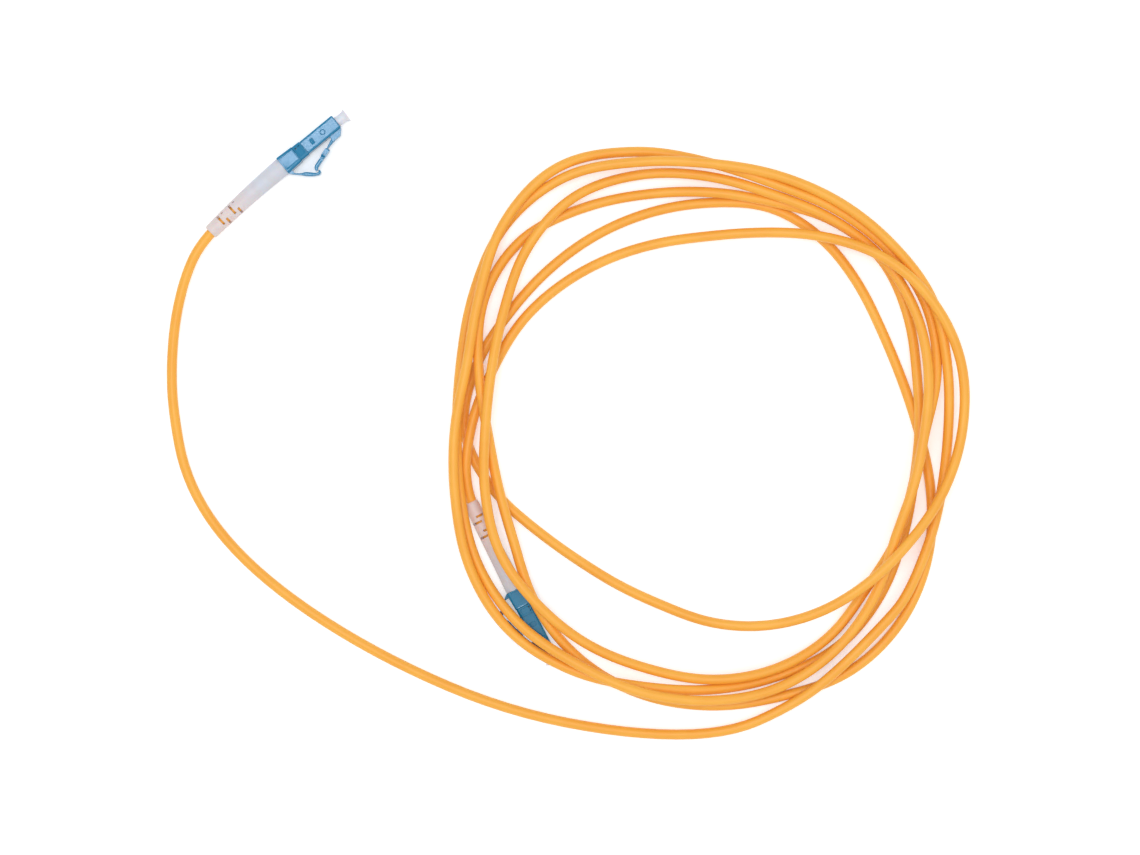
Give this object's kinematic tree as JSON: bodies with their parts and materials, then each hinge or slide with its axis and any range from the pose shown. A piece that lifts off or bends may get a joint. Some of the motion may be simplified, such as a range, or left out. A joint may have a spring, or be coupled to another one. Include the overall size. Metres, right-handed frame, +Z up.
{
  "type": "fiber optic patch cord",
  "caption": "Simplex fibre optic patch cord, loosely coiled, with a latching plug, tapered boot and dust cap on each end.",
  "frame": {"origin": "bottom centre of the box round the two plugs, on the surface that the cord lies on; the cable is left out of that box", "axes": "+Z up from the surface; +Y along the longer side of the box round the two plugs; +X towards the coil"},
  "size_m": [0.2383, 0.1873, 0.0094],
  "materials": {
    "plug_blue": "satin moulded",
    "post_metal": "nickel plated",
    "flange_metal": "turned",
    "zirconia": "polished ceramic",
    "fibre_glass": "polished",
    "buffer_plastic": "extruded",
    "spring_steel": "drawn wire",
    "sleeve_metal": "crimped",
    "yarn": "loose filament",
    "boot_rubber": "matt moulded",
    "cap_plastic": "translucent moulded",
    "jacket": "matt extruded"
  },
  "bodies": {
    "cord_and_plugs": {"rear_shell_a": "plug_blue", "plug_housing_a": "plug_blue", "crimp_post_a": "post_metal", "fibre_buffer_a": "buffer_plastic", "ferrule_spring_a": "spring_steel", "crimp_sleeve_a": "sleeve_metal", "aramid_yarn_a": "yarn", "boot_a": "boot_rubber", "rear_shell_b": "plug_blue", "plug_housing_b": "plug_blue", "crimp_post_b": "post_metal", "fibre_buffer_b": "buffer_plastic", "ferrule_spring_b": "spring_steel", "crimp_sleeve_b": "sleeve_metal", "aramid_yarn_b": "yarn", "boot_b": "boot_rubber", "cord_tail": "jacket", "cord_lead": "jacket", "cord_coil": "jacket"},
    "trigger_a": {"trigger_lever_a": "plug_blue"},
    "latch_a": {"latch_lever_a": "plug_blue"},
    "ferrule_a": {"ferrule_a": "zirconia", "ferrule_flange_a": "flange_metal", "glass_fibre_a": "fibre_glass"},
    "cap_a": {"dust_cap_a": "cap_plastic"},
    "trigger_b": {"trigger_lever_b": "plug_blue"},
    "latch_b": {"latch_lever_b": "plug_blue"},
    "ferrule_b": {"ferrule_b": "zirconia", "ferrule_flange_b": "flange_metal", "glass_fibre_b": "fibre_glass"},
    "cap_b": {"dust_cap_b": "cap_plastic"}
  },
  "joints": [
    {"name": "trigger_press_a", "type": "hinge", "parent": "cord_and_plugs", "child": "trigger_a", "pos_m": [-0.02591, 0.06327, 0.0029], "axis": [0, 0, 1], "range_deg": [0, 15], "stiffness_Nm_per_rad": 0.04},
    {"name": "latch_press_a", "type": "hinge", "parent": "cord_and_plugs", "child": "latch_a", "pos_m": [-0.01422, 0.07362, 0.0029], "axis": [0, 0, 1], "range_deg": [-12, 0]},
    {"name": "ferrule_float_a", "type": "slide", "parent": "cord_and_plugs", "child": "ferrule_a", "axis": [-0.7705, -0.6374, 0], "range_m": [0, 0.0008], "stiffness_N_per_m": 2000, "deforming": ["ferrule_spring_a"]},
    {"name": "cap_pull_a", "type": "slide", "parent": "cord_and_plugs", "child": "cap_a", "axis": [0.7705, 0.6374, 0], "range_m": [0, 0.01]},
    {"name": "trigger_press_b", "type": "hinge", "parent": "cord_and_plugs", "child": "trigger_b", "pos_m": [0.03702, -0.06268, 0.0029], "axis": [0, 0, 1], "range_deg": [0, 15], "stiffness_Nm_per_rad": 0.04},
    {"name": "latch_press_b", "type": "hinge", "parent": "cord_and_plugs", "child": "latch_b", "pos_m": [0.04461, -0.07632, 0.0029], "axis": [0, 0, 1], "range_deg": [-12, 0]},
    {"name": "ferrule_float_b", "type": "slide", "parent": "cord_and_plugs", "child": "ferrule_b", "axis": [-0.4571, 0.8894, 0], "range_m": [0, 0.0008], "stiffness_N_per_m": 2000, "deforming": ["ferrule_spring_b"]},
    {"name": "cap_pull_b", "type": "slide", "parent": "cord_and_plugs", "child": "cap_b", "axis": [0.4571, -0.8894, 0], "range_m": [0, 0.01]}
  ],
  "couplings": [
    {"joint": "latch_press_a", "follows": "trigger_press_a", "ratio": -0.8},
    {"joint": "latch_press_b", "follows": "trigger_press_b", "ratio": -0.8}
  ]
}
